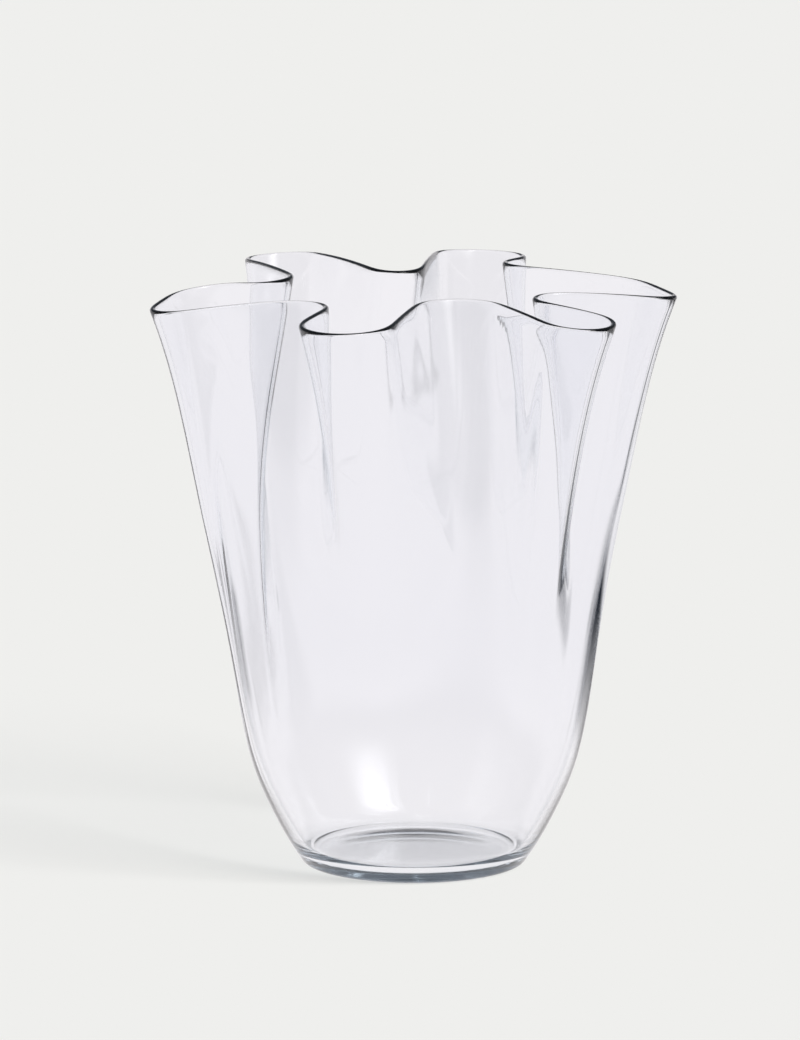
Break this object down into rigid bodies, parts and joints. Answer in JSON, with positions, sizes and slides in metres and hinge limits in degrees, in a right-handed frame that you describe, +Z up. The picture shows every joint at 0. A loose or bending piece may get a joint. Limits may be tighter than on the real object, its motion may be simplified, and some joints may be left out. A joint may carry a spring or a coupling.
{
  "type": "handkerchief vase",
  "caption": "Clear blown-glass vase with a round foot, a deep bowl and a tall wall that opens into a softly folded, lobed mouth, for holding cut flowers.",
  "frame": {"origin": "middle of the foot's standing ring, on the surface that the vase stands on", "axes": "+Z up along the vase's axis, -Y towards the viewer of the picture, +X to the viewer's right"},
  "size_m": [0.2274, 0.2194, 0.2564],
  "materials": {
    "clear_glass": "fire-polished, clear"
  },
  "bodies": {
    "root": {"vase": "clear_glass"}
  },
  "joints": []
}
